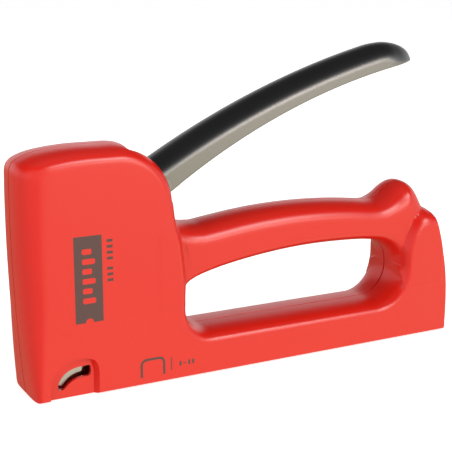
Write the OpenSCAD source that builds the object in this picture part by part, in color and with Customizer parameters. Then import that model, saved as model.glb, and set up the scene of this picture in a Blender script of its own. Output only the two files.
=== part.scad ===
// Hand staple gun: two moulded half shells on the mid-plane, a squeeze lever on a cross pin,
// a sprung plunger that carries the driver blade, and a bottom-loading magazine drawer.
// X runs from the nose towards the heel, Y across the tool, Z up from the sole.
// The origin is the middle of the nose plate's foot, where the staple leaves the tool.

/* [Housing] */
// Width across both closed shells
body_w = 28; // [27.6:0.2:29]
// Thickness of the moulded walls
wall = 2.2; // [2:0.1:2.4]
// Width of the hand grip
grip_w = 22; // [20:0.5:24]
// Width of the slot in the head that the lever swings through
slit_w = 19; // [18.6:0.1:19.4]
// Depth of the arched recess on each side of the nose
recess_depth = 2; // [1:0.1:2]

/* [Lever] */
// Width of the pressed steel lever
lever_w = 18; // [17.4:0.1:18]
// Sheet thickness of the lever
lever_t = 1.5; // [1:0.1:1.5]
// Depth of the lever's channel along the handle
lever_depth = 10.4; // [9:0.2:11]
// Distance from the pivot to the lifting studs
arm_r = 29.87; // [29.6:0.01:30]
// Half of the lever's swing, in degrees
half_swing = 11; // [10:0.5:11]

/* [Mechanism] */
// Radius of the lever's pivot pin
pin_r = 3; // [2.5:0.1:3]
// Radial running clearance of every moving bore
run_fit = 0.05; // [0.03:0.01:0.1]
// Outer diameter of the driving spring
spring_d = 10.4; // [9:0.1:10.4]
// Wire diameter of the driving spring
spring_wire = 1.7; // [1.2:0.1:1.8]
// Number of turns of the driving spring
spring_turns = 13; // [10:1:14]
// Thickness of the driver blade
blade_t = 0.9; // [0.7:0.05:0.95]

/* [Magazine] */
// Width over the steel magazine channel
channel_w = 13.6; // [13.4:0.1:13.8]
// Sheet thickness of the channel
channel_t = 1; // [0.8:0.1:1]
// Width over the legs of a staple
staple_w = 11.4; // [11.2:0.1:11.4]
// Height of a staple with its legs
staple_h = 10; // [6:1:10]
// Thickness of the staple wire
staple_wire = 0.75; // [0.6:0.05:0.8]
// Length of the strip of staples that is loaded
strip_len = 48; // [20:1:50]

/* [Hidden] */
$fn = 48;

// Half widths
half_w = body_w / 2;
cavity_hw = half_w - wall;
grip_hw = grip_w / 2;
slit_hw = slit_w / 2;
lever_hw = lever_w / 2;

// Lever pivot and the studs that lift the plunger
pivot_x = 38;
pivot_z = 68;
stud_x = pivot_x - arm_r * cos(half_swing);
stud_z = pivot_z - arm_r * sin(half_swing);
stud_r = 2.2;
fork_in = 5.6;
fork_out = 6.9;
ear_r = 9;
rivet_x = 50.5;
rivet_z = 72.4;
rivet_r = 1.6;

// Lever side view: a long arc under it, a flatter one over it, and a rounded tip
under_c = [200.3, -150.1];
under_r = 265;
over_c = [223.3, -223.8];
over_r = under_r + 76.1 + lever_depth;
tip_c = [154.3, 111.3];
tip_r = 7.4;

// Plunger and its spring
plunger_x0 = 2.6;
plunger_x1 = 17.6;
plunger_z0 = 20;
plunger_z1 = 67;
plunger_hw = 8.5;
plunger_t = 1.4;
spring_x = 10.6;
seat_z = 78.4;

// Blade gap behind the nose plate
plate_x0 = -0.5;
plate_x1 = 0.7;
blade_x0 = plate_x1 + 0.08;
blade_top = 40;
blade_tip = 0.3;

// Magazine
channel_x0 = 1.8;
channel_x1 = 166;
channel_h = 12.7;
rail_x0 = 3;
rail_x1 = 168;
rail_hw = 4.7;
rail_t = 0.8;
staples_x0 = blade_x0 + blade_t + 0.3;
pusher_x0 = staples_x0 + strip_len + 0.3;
pusher_len = 12;
cap_x1 = 174.2;
cap_pin_y = 2.6;
cap_pin_z = 1.8;
leaf_x0 = 153;
leaf_x1 = 172;
leaf_z = 10.05;
leaf_t = 0.5;

// Screw places along the body, as [x, z]
screws = [[28, 80.6], [27.5, 22], [47.3, 50], [98, 51], [160.5, 44]];

// Points of an arc about (cx, cz) from angle a0 to a1
function arc(cx, cz, r, a0, a1, n) =
    [for (i = [0:n]) let (a = a0 + (a1 - a0) * i / n) [cx + r * cos(a), cz + r * sin(a)]];

// A 2D side view, x and z, made into a slab of width w about the mid-plane
module slab(w) {
    rotate([90, 0, 0]) linear_extrude(w, center = true) children();
}

// A 2D side view made into a plate between y0 and y1
module plate(y0, y1) {
    translate([0, y1, 0]) rotate([90, 0, 0]) linear_extrude(y1 - y0) children();
}

// The same plate on both sides of the mid-plane
module both_sides() {
    children();
    mirror([0, 1, 0]) children();
}

// A box between two corners
module block(a, b) {
    translate(a) cube(b - a);
}

// A 2D section, y and z, drawn out along x from x0 to x1
module along(x0, x1) {
    translate([x0, 0, 0]) rotate([90, 0, 90]) linear_extrude(x1 - x0) children();
}

// A cylinder across the tool from y0 to y1
module cross_pin(x, z, r, y0, y1) {
    translate([x, y1, z]) rotate([90, 0, 0]) cylinder(r = r, h = y1 - y0);
}

// A helical wire drawn as stacked rings with a joining spine on one side
module coil(d, wire, len, turns) {
    pitch = (len - wire) / (turns - 1);
    for (i = [0:turns - 1])
        translate([0, 0, wire / 2 + i * pitch])
            rotate_extrude($fn = 32) translate([(d - wire) / 2, 0]) circle(d = wire, $fn = 13);
    translate([(d - wire) / 2, 0, wire / 2]) cylinder(d = wire * 0.8, h = len - wire, $fn = 13);
}

// ---- Housing outline ----

// Outer side view of the closed housing
module housing_outline() {
    polygon(concat(
        [[-1.9, 0], [-3.3, 17], [-4.3, 35], [-4.9, 55], [-4.8, 72], [-4.3, 81.6],
         [-3.2, 83.6], [3.3, 86], [10.4, 87.1], [18, 87.6]],
        arc(30.5, 65.3, 22.3, 100, 0, 14),
        [[53, 60.6], [55, 58], [59, 56.4], [65, 55.8]],
        arc(106, -177.4, 236.3, 98, 81.5, 8),
        [[146.5, 57.4], [151.3, 61], [154.3, 62.9], [157.4, 63.1], [160.8, 61.5],
         [164.8, 57.8], [167.4, 53.6], [169.6, 50.6], [171.2, 45], [172.9, 34],
         [174.2, 22], [175, 10], [175.3, 0]]));
}

// Hand window through the housing
module window_outline() {
    polygon(concat(
        arc(66.7, 25.7, 9.5, 180, 270, 8),
        arc(141, 29.2, 13, 270, 360, 10),
        arc(151.5, 34.6, 2.9, 0, 70, 4),
        [[148, 38.2]],
        arc(112.6, -187.6, 230.5, 83.2, 100.2, 8),
        arc(60, 34.2, 2.8, 110, 180, 4)));
}

// Widths of the head, the grip and the sole with its heel, less an inset all round
module width_zones(inset) {
    hw = half_w - inset;
    nose_r = 9 - inset;
    // head, with its front corners rounded in plan
    translate([0, 0, -1]) linear_extrude(90) union() {
        translate([-6 + inset + nose_r, 0]) circle(r = nose_r);
        for (s = [-1, 1]) translate([-5 + inset + nose_r, s * (hw - nose_r)]) circle(r = nose_r);
        translate([-5 + inset, -(hw - nose_r)]) square([nose_r, 2 * (hw - nose_r)]);
        translate([-5 + inset + nose_r, -hw]) square([58 - nose_r, 2 * hw]);
    }
    // grip
    along(50, 168) translate([0, 49]) square([2 * (grip_hw - inset), 40], center = true);
    // sole and heel
    block([50, -hw, -1], [180, hw, 16.6 - inset]);
    block([152.5 + inset, -hw, -1], [180, hw, 48 - inset]);
}

module housing_form() {
    intersection() {
        slab(body_w + 2) difference() {
            housing_outline();
            window_outline();
        }
        width_zones(0);
    }
}

module cavity_form() {
    intersection() {
        slab(body_w + 2) offset(delta = -wall) difference() {
            housing_outline();
            window_outline();
        }
        width_zones(wall);
    }
}

// Arched recess beside the nose, as a side view
module recess_outline() {
    translate([11, 6]) circle(r = 8.2);
    translate([17.2, 10.2]) circle(r = 4);
    translate([2.8, -2]) square([18.4, 8]);
    translate([11, 6]) square([10.2, 4.2]);
    translate([11, 10.2]) square([6.2, 4]);
}

// Curved sight slot in the floor of the recess
module sight_slot_outline() {
    polygon(concat(
        arc(13.6, 2.2, 8.2, 165, 92, 6),
        [[18.4, 10.3], [18.8, 6.2]],
        arc(13.6, 2.2, 4, 88, 158, 5)));
}

// Ribs that stiffen a shell and hold the parts inside it
module ribs() {
    block([-8, -half_w, 81], [20, half_w, 82.8]);
    for (z = [28, 58]) both_sides() block([3.6, 9.95, z], [18.5, half_w, z + 2]);
    both_sides() block([20, 7.2, 14], [21.6, half_w, 56]);
    both_sides() for (x = [30, 55, 80, 105, 130, 150]) block([x, 7.1, 0], [x + 1.6, half_w, 20]);
    for (x = [72, 125]) block([x, -half_w, 36], [x + 1.6, half_w, 62]);
    for (x = [24, 60, 110, 145]) block([x, -half_w, 12.75], [x + 1.6, half_w, 20]);
}

// Screw towers and the pivot towers
module towers() {
    for (p = screws) cross_pin(p[0], p[1], 3.4, -half_w, half_w);
    both_sides() cross_pin(pivot_x, pivot_z, 6, 9.4, half_w);
}

// Both shells in one piece, hollow, before they are parted on the mid-plane
module hollow_housing() {
    difference() {
        housing_form();
        difference() {
            cavity_form();
            ribs();
            towers();
        }
        // slot for the lever
        block([36.8, -slit_hw, 61.5], [60, slit_hw, 95]);
        // way for the magazine and its end cap
        block([plate_x1, -7, -1], [180, 7, channel_h + 0.05]);
        // seat of the nose plate
        block([plate_x0, -6.95, -1], [plate_x1 + 0.1, 6.95, 80]);
        // blade gap above the channel
        block([plate_x1, -6.95, 10], [plunger_x0, 6.95, 80]);
        // recesses beside the nose, each with its sight slot
        both_sides() plate(half_w - recess_depth, half_w + 1) recess_outline();
        both_sides() plate(7, half_w + 1) sight_slot_outline();
    }
}

module left_shell() {
    color([0.9, 0.13, 0.1]) difference() {
        hollow_housing();
        block([-20, 0, -20], [200, 40, 120]);
        for (p = screws) cross_pin(p[0], p[1], 1.2, -10.5, 1);
        cross_pin(pivot_x, pivot_z, pin_r, -12.8, 0);
    }
}

module right_shell() {
    color([0.9, 0.13, 0.1]) difference() {
        hollow_housing();
        block([-20, -40, -20], [200, 0, 120]);
        for (p = screws) {
            cross_pin(p[0], p[1], 1.6, -1, 20);
            cross_pin(p[0], p[1], 2.9, screw_floor(p), 20);
        }
        cross_pin(pivot_x, pivot_z, pin_r, 0, 12.8);
    }
}

// Depth of the counterbore under a screw head: deeper where the grip is narrow
function screw_floor(p) = (p[0] > 60 && p[0] < 152) ? grip_hw - 4 : half_w - 5;

module shell_screws() {
    color([0.75, 0.76, 0.78]) for (p = screws) difference() {
        union() {
            cross_pin(p[0], p[1], 1.2, -10, screw_floor(p));
            cross_pin(p[0], p[1], 2.7, screw_floor(p), screw_floor(p) + 2);
        }
        for (a = [0, 90])
            translate([p[0], screw_floor(p) + 1.5, p[1]]) rotate([0, a, 0])
                cube([3.4, 2, 0.8], center = true);
    }
}

// ---- Fixed mechanism ----

module nose_plate() {
    color([0.8, 0.81, 0.83]) block([plate_x0, -6.9, 0], [plate_x1, 6.9, 78]);
}

module guide_frame() {
    color([0.72, 0.73, 0.75]) {
        both_sides() block([3.6, 8.7, 14], [18.5, 9.9, 78]);
        block([18.5, -9.9, 14], [19.9, 9.9, 54]);
    }
}

module magazine_channel() {
    color([0.8, 0.81, 0.83]) difference() {
        block([channel_x0, -channel_w / 2, 0.2], [channel_x1, channel_w / 2, channel_h]);
        block([0, -channel_w / 2 + channel_t, -1],
              [channel_x1 + 1, channel_w / 2 - channel_t, channel_h - channel_t]);
        // notch for the drawer latch
        block([channel_x1 - 6, -2.6, channel_h - 2], [channel_x1 - 4, 2.6, channel_h + 1]);
    }
}

module pivot_pin() {
    color([0.75, 0.76, 0.78]) cross_pin(pivot_x, pivot_z, pin_r, -12.7, 12.7);
}

module pivot_washers() {
    color([0.9, 0.9, 0.88]) both_sides() difference() {
        cross_pin(pivot_x, pivot_z, 5.4, lever_hw + 0.05, 9.4);
        cross_pin(pivot_x, pivot_z, pin_r, lever_hw, 9.5);
    }
}

module bumper() {
    color([0.12, 0.12, 0.12])
        block([plunger_x0, -8, channel_h], [plunger_x1, 8, plunger_z0]);
}

module spring_seat() {
    color([0.15, 0.15, 0.16]) {
        block([4, -6.8, seat_z], [17.2, 6.8, 81]);
        translate([spring_x, 0, 66]) cylinder(r = spring_d / 2 - spring_wire - 0.3, h = seat_z - 66);
    }
}

module main_spring() {
    color([0.7, 0.71, 0.73]) translate([spring_x, 0, plunger_z0 + plunger_t])
        coil(spring_d, spring_wire, seat_z - plunger_z0 - plunger_t, spring_turns);
}

// Torsion spring around the pivot pin, one leg on the guide frame, one under the lever
module return_spring() {
    wire = 1.2;
    pitch = 1.4;
    coil_r = pin_r + 1;
    color([0.7, 0.71, 0.73]) {
        for (i = [-3:3]) translate([pivot_x, i * pitch, pivot_z]) rotate([90, 0, 0])
            rotate_extrude($fn = 32) translate([coil_r, 0]) circle(d = wire, $fn = 13);
        translate([pivot_x, 3 * pitch, pivot_z]) rotate([90, 0, 0]) rotate_extrude()
            translate([coil_r - 0.2, 0]) square([0.4, 6 * pitch]);
        block([pivot_x - 17, 3 * pitch - 0.5, pivot_z - coil_r - 0.5],
              [pivot_x, 3 * pitch + 0.5, pivot_z - coil_r + 0.5]);
        translate([pivot_x, -3 * pitch - 0.5, pivot_z + coil_r - 0.5]) rotate([0, -24, 0])
            cube([9, 1, 1]);
    }
}

// ---- Lever ----

// Side view of the lever's blank, moved in from its outer faces by t
module lever_side(t) {
    under = arc(under_c[0], under_c[1], under_r - (t > 0 ? 2 : 0), 121.6, 99 + t * 0.3, 16);
    over = arc(over_c[0], over_c[1], over_r - t, 102.9, 119.9, 16);
    tip = arc(tip_c[0], tip_c[1], tip_r - t, 0, 90, 7);
    polygon(concat(under, tip, over, [[44, 78 - t * 1.2], [46, 66]]));
}

module lever() {
    color([0.1, 0.1, 0.1]) difference() {
        union() {
            slab(lever_w) lever_side(0);
            slab(lever_w) translate([pivot_x, pivot_z]) circle(r = ear_r);
            slab(lever_w) polygon([[pivot_x - 2, pivot_z + 8.8], [44, 78], [52.5, 82.6],
                                   [58, 72.4], [44, 61.3]]);
        }
        slab(lever_w - 2 * lever_t) lever_side(lever_t);
        slab(lever_w - 2 * lever_t) polygon([[pivot_x - 14, 50], [pivot_x - 14, 90],
            [pivot_x + 1, 79.5], [44.5, 76.3], [53, 81], [60, 70], [60, 50]]);
        cross_pin(pivot_x, pivot_z, pin_r + run_fit, -20, 20);
        cross_pin(rivet_x, rivet_z, rivet_r, -20, 20);
    }
}

// Two steel arms joined by a bridge under the lever's top
module lift_fork() {
    tail = [54, 75.6];
    color([0.75, 0.76, 0.78]) difference() {
        union() {
            both_sides() plate(fork_in, fork_out) union() {
                translate([stud_x, stud_z]) circle(r = 3.8);
                translate([pivot_x, pivot_z]) circle(r = 7);
                polygon([[stud_x - 0.6, stud_z + 3.7], [pivot_x - 3, pivot_z + 6.3],
                         [pivot_x + 2, pivot_z - 6.6], [stud_x + 1, stud_z - 3.6]]);
                polygon([[pivot_x - 1, pivot_z + 6.8], tail, tail + [2.6, -4.4],
                         [pivot_x + 4, pivot_z - 5.6]]);
            }
            slab(2 * fork_out) polygon([[47, 75.8], [54, 79.6], tail + [0.9, 2.4], [47.8, 74.3]]);
            both_sides() cross_pin(stud_x, stud_z, stud_r, fork_in, plunger_hw);
        }
        cross_pin(pivot_x, pivot_z, pin_r + run_fit, -20, 20);
        cross_pin(rivet_x, rivet_z, rivet_r, -20, 20);
    }
}

// Rivets that hold the fork to the lever's cheeks
module fork_rivets() {
    color([0.7, 0.71, 0.73]) both_sides() {
        cross_pin(rivet_x, rivet_z, rivet_r, fork_in - 0.6, lever_hw);
        cross_pin(rivet_x, rivet_z, rivet_r + 0.9, fork_in - 0.6, fork_in);
    }
}

// ---- Plunger ----

module plunger() {
    color([0.72, 0.73, 0.75]) difference() {
        union() {
            block([plunger_x0, -plunger_hw, plunger_z0],
                  [plunger_x1, plunger_hw, plunger_z0 + plunger_t]);
            block([plunger_x0, -plunger_hw, plunger_z0],
                  [plunger_x0 + plunger_t, plunger_hw, 38]);
            both_sides() block([plunger_x0, plunger_hw - plunger_t, plunger_z0],
                               [plunger_x1, plunger_hw, plunger_z1]);
        }
        // windows for the studs, with play fore and aft for their arc
        both_sides() plate(5, 12) translate([stud_x - 0.3, stud_z])
            square([2 * stud_r + 1.6, 2 * stud_r + 0.3], center = true);
        // pin hole for the blade
        translate([-5, 0, 34]) rotate([0, 90, 0]) cylinder(r = 1.5, h = 12);
    }
}

module driver_blade() {
    color([0.85, 0.86, 0.88]) difference() {
        block([blade_x0, -staple_w / 2, blade_tip], [blade_x0 + blade_t, staple_w / 2, blade_top]);
        translate([-5, 0, 34]) rotate([0, 90, 0]) cylinder(r = 1.5, h = 12);
    }
}

module blade_pin() {
    color([0.7, 0.71, 0.73]) translate([blade_x0, 0, 34]) rotate([0, 90, 0])
        cylinder(r = 1.5, h = plunger_x0 + plunger_t + 0.8 - blade_x0);
    color([0.7, 0.71, 0.73]) translate([blade_x0 + blade_t + 0.02, 0, 34]) rotate([0, 90, 0])
        cylinder(r = 2.6, h = plunger_x0 - blade_x0 - blade_t - 0.02);
}

// ---- Magazine ----

module staples() {
    color([0.82, 0.83, 0.85]) difference() {
        block([staples_x0, -staple_w / 2, 0.5],
              [staples_x0 + strip_len, staple_w / 2, 0.5 + staple_h]);
        block([0, -staple_w / 2 + staple_wire, -1],
              [80, staple_w / 2 - staple_wire, 0.5 + staple_h - staple_wire]);
    }
}

// The two pins between the rail's end wall and the cap
module cap_pin_places(x, len, r) {
    for (s = [-1, 1]) translate([x, s * cap_pin_y, cap_pin_z]) rotate([0, 90, 0])
        cylinder(r = r, h = len);
}

module magazine_rail() {
    top = 0.4 + staple_h - staple_wire;
    color([0.78, 0.79, 0.81]) difference() {
        block([rail_x0, -rail_hw, 0.4], [rail_x1, rail_hw, top - 0.15]);
        block([rail_x0 + rail_t, -rail_hw + rail_t, 0.4 + rail_t],
              [rail_x1 - 1.6, rail_hw - rail_t, 20]);
        cap_pin_places(rail_x1 - 3, 5, 0.7);
    }
}

module pusher_rod() {
    color([0.75, 0.76, 0.78]) translate([rail_x0 + rail_t, 0, 5]) rotate([0, 90, 0])
        cylinder(r = 1.1, h = rail_x1 - 1.6 - rail_x0 - rail_t);
}

// Slider that straddles the rail and pushes the strip towards the nose
module pusher() {
    x1 = pusher_x0 + pusher_len;
    color([0.2, 0.2, 0.21]) difference() {
        block([pusher_x0, -5.6, 0.9], [x1, 5.6, 10.9]);
        for (s = [-1, 1]) translate([pusher_x0 - 1, s * 4.3 - 0.55, -1]) cube([40, 1.1, 10.7]);
        block([pusher_x0 - 1, -4.9, -1], [x1 + 1, 4.9, 1.5]);
        translate([pusher_x0 - 1, 0, 5]) rotate([0, 90, 0]) cylinder(r = 1.1 + run_fit, h = 40);
    }
}

module pusher_spring() {
    x0 = pusher_x0 + pusher_len;
    color([0.7, 0.71, 0.73]) translate([x0, 0, 5]) rotate([0, 90, 0])
        coil(5.4, 0.8, rail_x1 - 1.6 - x0, 30);
}

module end_cap() {
    color([0.12, 0.12, 0.13]) difference() {
        block([rail_x1, -6.7, 0.4], [cap_x1, 6.7, 12.4]);
        // pocket for the release button and its spring
        block([rail_x1 + 1.2, -2.7, 3], [cap_x1 + 1, 2.7, 11.4]);
        // way in for the latch leaf
        block([rail_x1 - 1, -2.4, leaf_z - 0.15], [rail_x1 + 2, 2.4, leaf_z + leaf_t + 0.15]);
        cap_pin_places(rail_x1 - 1, 4.6, 0.7);
    }
}

// Pins that fix the end cap to the rail
module cap_pins() {
    color([0.75, 0.76, 0.78]) cap_pin_places(rail_x1 - 1.6, 5.2, 0.7);
}

// Spring leaf that clicks into the notch of the channel
module latch_leaf() {
    color([0.7, 0.71, 0.73]) {
        block([leaf_x0, -2.3, leaf_z], [leaf_x1, 2.3, leaf_z + leaf_t]);
        block([channel_x1 - 5.6, -2.3, leaf_z], [channel_x1 - 4.4, 2.3, channel_h - 0.3]);
        block([leaf_x0, -rail_hw, leaf_z - 0.55], [leaf_x0 + 4, rail_hw, leaf_z]);
    }
}

module release_button() {
    color([0.12, 0.12, 0.13]) difference() {
        union() {
            block([rail_x1 + 1.5, -2.5, 8], [cap_x1 - 0.4, 2.5, 11.2]);
            block([cap_x1 - 0.5, -2.5, 8.2], [cap_x1 + 0.6, 2.5, 11]);
        }
        block([rail_x1 + 1, -2.4, leaf_z - 0.1], [leaf_x1 + 0.2, 2.4, leaf_z + leaf_t + 0.1]);
    }
}

module button_spring() {
    color([0.7, 0.71, 0.73]) translate([rail_x1 + 3.6, 0, 3])
        coil(3, 0.5, 5, 5);
}

left_shell();
right_shell();
shell_screws();
nose_plate();
guide_frame();
magazine_channel();
pivot_pin();
pivot_washers();
bumper();
spring_seat();
main_spring();
return_spring();
lever();
lift_fork();
fork_rivets();
plunger();
driver_blade();
blade_pin();
staples();
magazine_rail();
pusher_rod();
pusher();
pusher_spring();
end_cap();
cap_pins();
latch_leaf();
release_button();
button_spring();
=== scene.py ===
"""Looks of the hand staple gun: moulded shells, lacquered lever, plated works and a plain studio."""

import functools
import logging
import math
from dataclasses import dataclass, field
from enum import Enum
from typing import Callable, Dict, List, Sequence, Tuple

import bpy
import numpy as np
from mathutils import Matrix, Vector

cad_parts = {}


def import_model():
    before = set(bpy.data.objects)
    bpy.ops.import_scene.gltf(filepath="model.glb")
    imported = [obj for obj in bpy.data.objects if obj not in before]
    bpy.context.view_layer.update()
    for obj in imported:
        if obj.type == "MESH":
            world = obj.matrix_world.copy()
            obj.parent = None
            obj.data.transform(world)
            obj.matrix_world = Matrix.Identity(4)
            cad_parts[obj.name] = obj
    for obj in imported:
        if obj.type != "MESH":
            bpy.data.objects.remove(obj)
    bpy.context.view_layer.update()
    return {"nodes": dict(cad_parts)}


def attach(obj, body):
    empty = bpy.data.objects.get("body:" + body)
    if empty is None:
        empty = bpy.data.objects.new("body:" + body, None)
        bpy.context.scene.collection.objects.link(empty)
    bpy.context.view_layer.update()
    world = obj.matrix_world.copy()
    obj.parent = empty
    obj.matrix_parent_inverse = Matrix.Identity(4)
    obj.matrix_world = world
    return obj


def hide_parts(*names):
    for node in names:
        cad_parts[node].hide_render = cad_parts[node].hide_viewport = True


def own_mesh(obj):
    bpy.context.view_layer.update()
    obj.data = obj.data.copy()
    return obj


MM = 0.001
Point = Tuple[float, float]
Colour = Tuple[float, float, float]
PIVOT: Point = (38.0, 68.0)
RIVET: Point = (50.5, 72.4)
ROUND_STEPS = 48
log = logging.getLogger("staple_gun")


class Side(Enum):
    """Which half of the tool a piece belongs to, as the sign of its Y."""

    LEFT = -1.0
    RIGHT = 1.0


class Cut(Enum):
    """Boolean operations used on the pieces."""

    REMOVE = "DIFFERENCE"
    KEEP = "INTERSECT"
    ADD = "UNION"


# ---------------------------------------------------------------- curves and mesh helpers


def arc(centre: Point, radius: float, start: float, end: float, count: int) -> np.ndarray:
    """Points along a circular arc in the side view.

    Args:
        centre: Centre as x, z in millimetres.
        radius: Radius in millimetres.
        start: First angle in degrees, from +X towards +Z.
        end: Last angle in degrees.
        count: Number of points.

    Returns:
        An array of count rows of x, z.
    """
    angles = np.radians(np.linspace(start, end, count))
    return np.c_[centre[0] + radius * np.cos(angles), centre[1] + radius * np.sin(angles)]


def between(p: np.ndarray, q: np.ndarray, start: float, end: float, at: float) -> np.ndarray:
    """Point between p and q, as at goes from start to end."""
    return (p * (end - at) + q * (at - start)) / (end - start)


def smooth_run(points: Sequence[Point], step: float = 0.8) -> np.ndarray:
    """Passes a smooth open curve through a few points and samples it evenly.

    Args:
        points: The points that shape the curve, as x, z in millimetres.
        step: Distance between samples.

    Returns:
        The sampled curve, with both end points kept.
    """
    pts = np.array(points, float)
    ends = np.vstack([2 * pts[0] - pts[1], pts, 2 * pts[-1] - pts[-2]])
    curve: List[np.ndarray] = []
    for a, b, c, d in zip(ends, ends[1:], ends[2:], ends[3:]):
        knots = np.cumsum([0.0] + [math.sqrt(np.linalg.norm(q - p)) for p, q in ((a, b), (b, c), (c, d))])
        for t in np.linspace(knots[1], knots[2], 16, endpoint=False):
            ab, bc, cd = (between(*pair, *span, t) for pair, span in
                          (((a, b), knots[0:2]), ((b, c), knots[1:3]), ((c, d), knots[2:4])))
            curve.append(between(between(ab, bc, knots[0], knots[2], t),
                                 between(bc, cd, knots[1], knots[3], t), knots[1], knots[2], t))
    curve.append(pts[-1])
    return resample(np.array(curve), step)


def resample(line: np.ndarray, step: float) -> np.ndarray:
    """Spaces the points of a line evenly.

    Args:
        line: The line's points.
        step: About how far apart they come.

    Returns:
        The new points, with both ends kept.
    """
    gone = np.r_[0, np.cumsum(np.linalg.norm(np.diff(line, axis=0), axis=1))]
    at = np.linspace(0, gone[-1], max(2, int(round(gone[-1] / step)) + 1))
    return np.c_[np.interp(at, gone, line[:, 0]), np.interp(at, gone, line[:, 1])]


def distance_to(points: np.ndarray, line: np.ndarray) -> np.ndarray:
    """Shortest distance from each point to an open, evenly sampled line.

    Args:
        points: Rows of x, z.
        line: Rows of x, z along the line.

    Returns:
        One distance for each point.
    """
    squares = (points ** 2).sum(axis=1)[:, None] + (line ** 2).sum(axis=1)[None] - 2 * points @ line.T
    nearest = np.argmin(squares, axis=1)
    best = np.full(len(points), np.inf)
    for step in (-1, 0):
        start = np.clip(nearest + step, 0, len(line) - 2)
        a, b = line[start], line[start + 1]
        along = b - a
        t = np.clip(((points - a) * along).sum(axis=1) / (along ** 2).sum(axis=1), 0, 1)
        best = np.minimum(best, np.linalg.norm(points - a - t[:, None] * along, axis=1))
    return best


def inside(points: np.ndarray, outline: np.ndarray) -> np.ndarray:
    """Tells which points lie inside a closed outline.

    Args:
        points: Rows of x, z.
        outline: Corners of the outline, in order.

    Returns:
        True for each point that lies inside.
    """
    hit = np.zeros(len(points), bool)
    x, z = points[:, 0], points[:, 1]
    for a, b in zip(outline, np.roll(outline, -1, axis=0)):
        if a[1] == b[1]:
            continue
        crosses = (a[1] > z) != (b[1] > z)
        hit ^= crosses & (x < (b[0] - a[0]) * (z - a[1]) / (b[1] - a[1]) + a[0])
    return hit


def deselect() -> None:
    """Clears the selection, in object mode."""
    if bpy.context.object and bpy.context.object.mode != "OBJECT":
        bpy.ops.object.mode_set(mode="OBJECT")
    bpy.ops.object.select_all(action="DESELECT")


def pick(obj: bpy.types.Object) -> None:
    """Selects one object alone and makes it active.

    Args:
        obj: The object.
    """
    deselect()
    obj.select_set(True)
    bpy.context.view_layer.objects.active = obj


def settle(obj: bpy.types.Object) -> None:
    """Moves an object's place, turn and size into its mesh."""
    pick(obj)
    bpy.ops.object.transform_apply(location=True, rotation=True, scale=True)


def apply_modifier(obj: bpy.types.Object, kind: str, **settings: object) -> None:
    """Adds a modifier with the given settings and applies it at once.

    Args:
        obj: The piece.
        kind: Blender's modifier type, such as BEVEL.
        settings: Attributes of the modifier.
    """
    pick(obj)
    modifier = obj.modifiers.new(kind.lower(), kind)
    for name, value in settings.items():
        setattr(modifier, name, value)
    bpy.ops.object.modifier_apply(modifier=modifier.name)


def mesh_piece(name: str, verts: np.ndarray, faces: Sequence[Sequence[int]]) -> bpy.types.Object:
    """Makes an object from vertices in millimetres and faces.

    Args:
        name: Name of the new object.
        verts: Rows of x, y, z in millimetres.
        faces: Vertex numbers of each face.

    Returns:
        The linked object.
    """
    mesh = bpy.data.meshes.new(name)
    mesh.from_pydata((np.asarray(verts) * MM).tolist(), [], [list(f) for f in faces])
    mesh.update()
    obj = bpy.data.objects.new(name, mesh)
    bpy.context.scene.collection.objects.link(obj)
    return obj


def clean(obj: bpy.types.Object, merge: float = 0.02) -> None:
    """Merges doubles and points every face outwards.

    Args:
        obj: The piece.
        merge: Distance below which vertices merge, in millimetres.
    """
    pick(obj)
    bpy.ops.object.mode_set(mode="EDIT")
    bpy.ops.mesh.select_all(action="SELECT")
    bpy.ops.mesh.remove_doubles(threshold=merge * MM)
    bpy.ops.mesh.normals_make_consistent(inside=False)
    bpy.ops.object.mode_set(mode="OBJECT")


def smooth_by_angle(obj: bpy.types.Object, degrees: float = 35) -> None:
    """Shades a piece smooth, with edges sharper than the angle left crisp."""
    pick(obj)
    bpy.ops.object.shade_smooth_by_angle(angle=math.radians(degrees))


def join(name: str, pieces: Sequence[bpy.types.Object]) -> bpy.types.Object:
    """Joins pieces into one object.

    Args:
        name: Name of the joined object.
        pieces: The pieces, at least one.

    Returns:
        The joined object.
    """
    deselect()
    for piece in pieces:
        piece.select_set(True)
    bpy.context.view_layer.objects.active = pieces[0]
    if len(pieces) > 1:
        bpy.ops.object.join()
    pieces[0].name = name
    pieces[0].data.name = name
    return pieces[0]


def box_piece(name: str, low: Sequence[float], high: Sequence[float],
              bevel: float = 0.0) -> bpy.types.Object:
    """Adds a box between two corners and rounds its edges.

    Args:
        name: Name of the new object.
        low: Lowest corner in millimetres.
        high: Highest corner in millimetres.
        bevel: Radius of the rounded edges in millimetres.

    Returns:
        The box, with its place in its mesh.
    """
    deselect()
    low_v, high_v = Vector(low) * MM, Vector(high) * MM
    bpy.ops.mesh.primitive_cube_add(size=1, location=(low_v + high_v) / 2)
    obj = bpy.context.object
    obj.name = name
    obj.scale = high_v - low_v
    settle(obj)
    if bevel:
        apply_modifier(obj, "BEVEL", width=bevel * MM, segments=3, limit_method="ANGLE")
    return obj


def rod_piece(name: str, centre: Sequence[float], radius: float, length: float) -> bpy.types.Object:
    """Adds a round bar that lies across the tool.

    Args:
        name: Name of the new object.
        centre: Middle of the bar in millimetres.
        radius: Radius in millimetres.
        length: Length in millimetres.

    Returns:
        The bar, with its place in its mesh.
    """
    deselect()
    bpy.ops.mesh.primitive_cylinder_add(vertices=ROUND_STEPS, radius=radius * MM, depth=length * MM,
                                        location=Vector(centre) * MM, rotation=(math.pi / 2, 0, 0))
    obj = bpy.context.object
    obj.name = name
    settle(obj)
    return obj


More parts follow.
